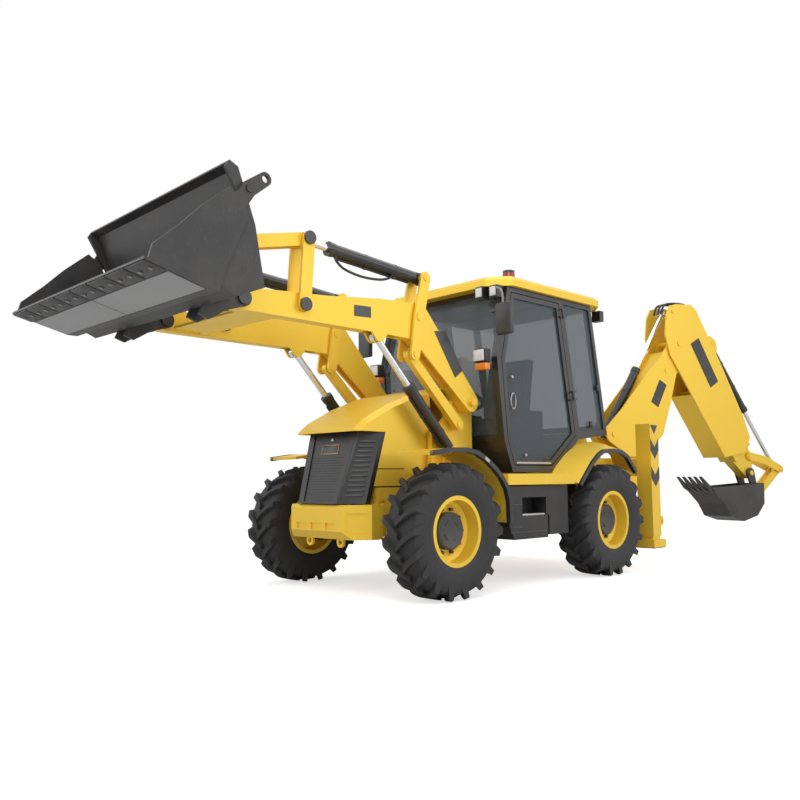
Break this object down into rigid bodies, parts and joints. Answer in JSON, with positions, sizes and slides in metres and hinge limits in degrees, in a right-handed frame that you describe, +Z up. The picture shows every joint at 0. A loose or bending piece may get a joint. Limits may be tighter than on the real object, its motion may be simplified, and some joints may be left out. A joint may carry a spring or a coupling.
{
  "type": "backhoe loader",
  "caption": "Compact backhoe loader with equal wheels, a clamshell loading shovel on lifting arms, a glazed cab, a side-shifting backhoe with an extending dipper, and vertical stabilisers.",
  "frame": {"origin": "On the ground under the middle of the outline box.", "axes": "+Z up; -Y is the machine's front, where the loading shovel is; +X is the machine's left side."},
  "size_m": [1.9931, 8.091, 2.735],
  "materials": {
    "yellow_paint": "gloss machine yellow",
    "dark_paint": "satin black",
    "shovel_paint": "worn charcoal",
    "rod_chrome": "polished hard chrome",
    "tyre": "moulded black rubber",
    "tinted_glass": "tinted",
    "engine_casting": "painted casting",
    "seat_plastic": "matte black"
  },
  "bodies": {
    "machine": {"chassis": "yellow_paint", "front_bumper": "yellow_paint", "engine_block": "engine_casting", "axle_beams": "dark_paint", "cab_frame": "dark_paint", "cab_roof": "yellow_paint", "cab_glass": "tinted_glass", "fenders": "yellow_paint", "side_tanks": "dark_paint", "operator_station": "seat_plastic", "cab_fittings": "dark_paint", "rear_frame": "yellow_paint"},
    "bonnet": {"bonnet": "yellow_paint", "grille": "dark_paint"},
    "door_left": {"door_left": "dark_paint", "door_glass_left": "tinted_glass"},
    "door_right": {"door_right": "dark_paint", "door_glass_right": "tinted_glass"},
    "knuckle_front_left": {"knuckle_front_left": "dark_paint"},
    "wheel_front_left": {"tyre_front_left": "tyre", "rim_front_left": "yellow_paint"},
    "knuckle_front_right": {"knuckle_front_right": "dark_paint"},
    "wheel_front_right": {"tyre_front_right": "tyre", "rim_front_right": "yellow_paint"},
    "knuckle_rear_left": {"knuckle_rear_left": "dark_paint"},
    "wheel_rear_left": {"tyre_rear_left": "tyre", "rim_rear_left": "yellow_paint"},
    "knuckle_rear_right": {"knuckle_rear_right": "dark_paint"},
    "wheel_rear_right": {"tyre_rear_right": "tyre", "rim_rear_right": "yellow_paint"},
    "loader_arms": {"loader_arms": "yellow_paint"},
    "rear_levers": {"rear_levers": "yellow_paint"},
    "lower_links": {"lower_links": "yellow_paint"},
    "crowd_barrels": {"crowd_barrels": "dark_paint"},
    "crowd_rods": {"crowd_rods": "rod_chrome"},
    "lever_pins": {"lever_pins": "dark_paint"},
    "front_levers": {"front_levers": "yellow_paint"},
    "link_pins": {"link_pins": "dark_paint"},
    "bucket_links": {"bucket_links": "yellow_paint"},
    "shovel_pins": {"shovel_pins": "dark_paint"},
    "shovel_back": {"shovel_back": "shovel_paint"},
    "shovel_jaw": {"shovel_jaw": "shovel_paint"},
    "lift_barrels": {"lift_barrels": "dark_paint"},
    "lift_rods": {"lift_rods": "rod_chrome"},
    "carriage": {"carriage": "yellow_paint"},
    "kingpost": {"kingpost": "yellow_paint"},
    "boom": {"boom": "yellow_paint"},
    "dipper": {"dipper": "yellow_paint"},
    "dipper_extension": {"dipper_extension": "yellow_paint"},
    "dig_bucket": {"dig_bucket": "shovel_paint"},
    "tipping_lever": {"tipping_lever": "yellow_paint"},
    "tipping_link": {"tipping_link": "yellow_paint"},
    "bucket_ram_barrel": {"bucket_ram_barrel": "dark_paint"},
    "bucket_ram_rod": {"bucket_ram_rod": "rod_chrome"},
    "dipper_ram_barrel": {"dipper_ram_barrel": "dark_paint"},
    "dipper_ram_rod": {"dipper_ram_rod": "rod_chrome"},
    "boom_ram_barrel": {"boom_ram_barrel": "dark_paint"},
    "boom_ram_rod": {"boom_ram_rod": "rod_chrome"},
    "stabiliser_left": {"stabiliser_leg_left": "yellow_paint"},
    "stabiliser_right": {"stabiliser_leg_right": "yellow_paint"}
  },
  "joints": [
    {"name": "bonnet_hinge", "type": "hinge", "parent": "machine", "child": "bonnet", "pos_m": [0, -0.97, 1.572], "axis": [-1, 0, 0], "range_deg": [0, 45]},
    {"name": "door_left_hinge", "type": "hinge", "parent": "machine", "child": "door_left", "pos_m": [0.716, 0.082, 1.9355], "axis": [0, -0.1739, 0.9848], "range_deg": [0, 75]},
    {"name": "door_right_hinge", "type": "hinge", "parent": "machine", "child": "door_right", "pos_m": [-0.716, 0.082, 1.9355], "axis": [0, 0.1739, -0.9848], "range_deg": [0, 75]},
    {"name": "steer_front_left", "type": "hinge", "parent": "machine", "child": "knuckle_front_left", "pos_m": [0.64, -1.66, 0.4825], "axis": [0, 0, 1], "range_deg": [-24, 24]},
    {"name": "wheel_front_left_spin", "type": "hinge", "parent": "knuckle_front_left", "child": "wheel_front_left", "pos_m": [0.82, -1.66, 0.4825], "axis": [1, 0, 0], "continuous": true},
    {"name": "steer_front_right", "type": "hinge", "parent": "machine", "child": "knuckle_front_right", "pos_m": [-0.64, -1.66, 0.4825], "axis": [0, 0, 1], "range_deg": [-24.5, 24.5]},
    {"name": "wheel_front_right_spin", "type": "hinge", "parent": "knuckle_front_right", "child": "wheel_front_right", "pos_m": [-0.82, -1.66, 0.4825], "axis": [1, 0, 0], "continuous": true},
    {"name": "steer_rear_left", "type": "hinge", "parent": "machine", "child": "knuckle_rear_left", "pos_m": [0.64, 0.362, 0.4825], "axis": [0, 0, 1], "range_deg": [-24, 24]},
    {"name": "wheel_rear_left_spin", "type": "hinge", "parent": "knuckle_rear_left", "child": "wheel_rear_left", "pos_m": [0.82, 0.362, 0.4825], "axis": [1, 0, 0], "continuous": true},
    {"name": "steer_rear_right", "type": "hinge", "parent": "machine", "child": "knuckle_rear_right", "pos_m": [-0.64, 0.362, 0.4825], "axis": [0, 0, 1], "range_deg": [-24.5, 24.5]},
    {"name": "wheel_rear_right_spin", "type": "hinge", "parent": "knuckle_rear_right", "child": "wheel_rear_right", "pos_m": [-0.82, 0.362, 0.4825], "axis": [1, 0, 0], "continuous": true},
    {"name": "lift", "type": "hinge", "parent": "machine", "child": "loader_arms", "pos_m": [0, -1.021, 1.461], "axis": [-1, 0, 0], "range_deg": [-47, 28]},
    {"name": "rear_lever_turn", "type": "hinge", "parent": "loader_arms", "child": "rear_levers", "pos_m": [0, -1.632, 2.068], "axis": [-1, 0, 0], "range_deg": [-26.26, 43.74]},
    {"name": "lower_link_turn", "type": "hinge", "parent": "machine", "child": "lower_links", "pos_m": [0, -1.139, 1.275], "axis": [-1, 0, 0], "range_deg": [-55.02, 32.98]},
    {"name": "crowd_barrel_turn", "type": "hinge", "parent": "rear_levers", "child": "crowd_barrels", "pos_m": [0, -1.558, 2.381], "axis": [-1, 0, 0], "range_deg": [-41.86, 25.14]},
    {"name": "crowd_stroke", "type": "slide", "parent": "crowd_barrels", "child": "crowd_rods", "axis": [0, -0.997, 0.0777], "range_m": [-0.1393, 0.3557]},
    {"name": "lever_pin_turn", "type": "hinge", "parent": "loader_arms", "child": "lever_pins", "pos_m": [0, -2.706, 2.009], "axis": [-1, 0, 0], "range_deg": [-17.72, 29.41]},
    {"name": "front_lever_turn", "type": "hinge", "parent": "lever_pins", "child": "front_levers", "pos_m": [0, -2.706, 2.009], "axis": [-1, 0, 0], "range_deg": [-48.6, 19]},
    {"name": "link_pin_turn", "type": "hinge", "parent": "front_levers", "child": "link_pins", "pos_m": [0, -2.674, 2.468], "axis": [-1, 0, 0], "range_deg": [-23.53, 14.22]},
    {"name": "bucket_link_turn", "type": "hinge", "parent": "link_pins", "child": "bucket_links", "pos_m": [0, -2.674, 2.468], "axis": [-1, 0, 0], "range_deg": [-14, 35.6]},
    {"name": "shovel_level", "type": "hinge", "parent": "loader_arms", "child": "shovel_pins", "pos_m": [0, -3.185, 1.986], "axis": [-1, 0, 0], "range_deg": [-21.36, 35.52]},
    {"name": "crowd", "type": "hinge", "parent": "shovel_pins", "child": "shovel_back", "pos_m": [0, -3.185, 1.986], "axis": [-1, 0, 0], "range_deg": [-65, 25]},
    {"name": "jaw", "type": "hinge", "parent": "shovel_back", "child": "shovel_jaw", "pos_m": [0, -3.41, 2.52], "axis": [-1, 0, 0], "range_deg": [0, 60]},
    {"name": "lift_barrel_turn", "type": "hinge", "parent": "machine", "child": "lift_barrels", "pos_m": [0, -1.215, 1.054], "axis": [-1, 0, 0], "range_deg": [-47.5, 28.5]},
    {"name": "lift_stroke", "type": "slide", "parent": "lift_barrels", "child": "lift_rods", "axis": [0, -0.6917, 0.7222], "range_m": [-0.3485, 0.2093]},
    {"name": "side_shift", "type": "slide", "parent": "machine", "child": "carriage", "axis": [1, 0, 0], "range_m": [-0.7, 0.2]},
    {"name": "slew", "type": "hinge", "parent": "carriage", "child": "kingpost", "pos_m": [0.25, 1.48, 0.7], "axis": [0, 0, 1], "range_deg": [-75, 105]},
    {"name": "boom_swing", "type": "hinge", "parent": "kingpost", "child": "boom", "pos_m": [0.32765, 1.76978, 1.18], "axis": [0.9659, -0.2588, 0], "range_deg": [-105, 5]},
    {"name": "dipper_swing", "type": "hinge", "parent": "boom", "child": "dipper", "pos_m": [0.48785, 2.36769, 2.301], "axis": [-0.9659, 0.2588, 0], "range_deg": [-105, 9]},
    {"name": "extend", "type": "slide", "parent": "dipper", "child": "dipper_extension", "axis": [0.1621, 0.605, -0.7795], "range_m": [0, 0.55]},
    {"name": "bucket_curl", "type": "hinge", "parent": "dipper_extension", "child": "dig_bucket", "pos_m": [0.78213, 3.46594, 0.886], "axis": [-0.9659, 0.2588, 0], "range_deg": [-115, 8]},
    {"name": "tipping_lever_turn", "type": "hinge", "parent": "dipper_extension", "child": "tipping_lever", "pos_m": [0.78239, 3.46691, 1.081], "axis": [-0.9659, 0.2588, 0], "range_deg": [-85.6, 6.42]},
    {"name": "tipping_link_turn", "type": "hinge", "parent": "tipping_lever", "child": "tipping_link", "pos_m": [0.92112, 3.98465, 0.93], "axis": [-0.9659, 0.2588, 0], "range_deg": [-2.9, 35]},
    {"name": "bucket_ram_turn", "type": "hinge", "parent": "dipper_extension", "child": "bucket_ram_barrel", "pos_m": [0.64858, 2.96753, 2.35], "axis": [-0.9659, 0.2588, 0], "range_deg": [-10.85, 1.22]},
    {"name": "bucket_ram_stroke", "type": "slide", "parent": "bucket_ram_barrel", "child": "bucket_ram_rod", "axis": [0.1542, 0.5754, -0.8032], "range_m": [-0.7165, 0.0536]},
    {"name": "dipper_ram_turn", "type": "hinge", "parent": "boom", "child": "dipper_ram_barrel", "pos_m": [0.23421, 1.42108, 1.289], "axis": [-0.9659, 0.2588, 0], "range_deg": [-0.77, 3.65]},
    {"name": "dipper_ram_stroke", "type": "slide", "parent": "dipper_ram_barrel", "child": "dipper_ram_rod", "axis": [0.1426, 0.5322, 0.8345], "range_m": [-0.5813, 0.0535]},
    {"name": "boom_ram_turn", "type": "hinge", "parent": "kingpost", "child": "boom_ram_barrel", "pos_m": [0.34835, 1.84705, 0.94], "axis": [0.9659, -0.2588, 0], "range_deg": [-100.25, 5.25]},
    {"name": "boom_ram_stroke", "type": "slide", "parent": "boom_ram_barrel", "child": "boom_ram_rod", "axis": [0.0809, 0.302, 0.9499], "range_m": [-0.4017, 0.0229]},
    {"name": "stabiliser_left_drop", "type": "slide", "parent": "machine", "child": "stabiliser_left", "axis": [0, 0, -1], "range_m": [0, 0.2]},
    {"name": "stabiliser_right_drop", "type": "slide", "parent": "machine", "child": "stabiliser_right", "axis": [0, 0, -1], "range_m": [0, 0.2]}
  ],
  "couplings": [
    {"joint": "steer_front_right", "follows": "steer_front_left", "ratio": 1},
    {"joint": "steer_rear_right", "follows": "steer_rear_left", "ratio": 1},
    {"joint": "rear_lever_turn", "follows": "lift", "ratio": -0.92},
    {"joint": "lower_link_turn", "follows": "lift", "ratio": 1.16},
    {"joint": "crowd_barrel_turn", "follows": "lift", "ratio": 0.88},
    {"joint": "crowd_stroke", "follows": "crowd", "m_per_rad": -0.31},
    {"joint": "lever_pin_turn", "follows": "lift", "ratio": -0.615},
    {"joint": "front_lever_turn", "follows": "crowd", "ratio": 0.74},
    {"joint": "link_pin_turn", "follows": "lift", "ratio": 0.49},
    {"joint": "bucket_link_turn", "follows": "crowd", "ratio": -0.54},
    {"joint": "shovel_level", "follows": "lift", "ratio": -0.745},
    {"joint": "lift_barrel_turn", "follows": "lift", "ratio": 1},
    {"joint": "lift_stroke", "follows": "lift", "m_per_rad": 0.42},
    {"joint": "tipping_lever_turn", "follows": "bucket_curl", "ratio": 0.74},
    {"joint": "tipping_link_turn", "follows": "bucket_curl", "ratio": -0.3},
    {"joint": "bucket_ram_turn", "follows": "bucket_curl", "ratio": 0.09},
    {"joint": "bucket_ram_stroke", "follows": "bucket_curl", "m_per_rad": 0.355},
    {"joint": "dipper_ram_turn", "follows": "dipper_swing", "ratio": -0.03},
    {"joint": "dipper_ram_stroke", "follows": "dipper_swing", "m_per_rad": 0.315},
    {"joint": "boom_ram_turn", "follows": "boom_swing", "ratio": 0.95},
    {"joint": "boom_ram_stroke", "follows": "boom_swing", "m_per_rad": 0.217}
  ]
}
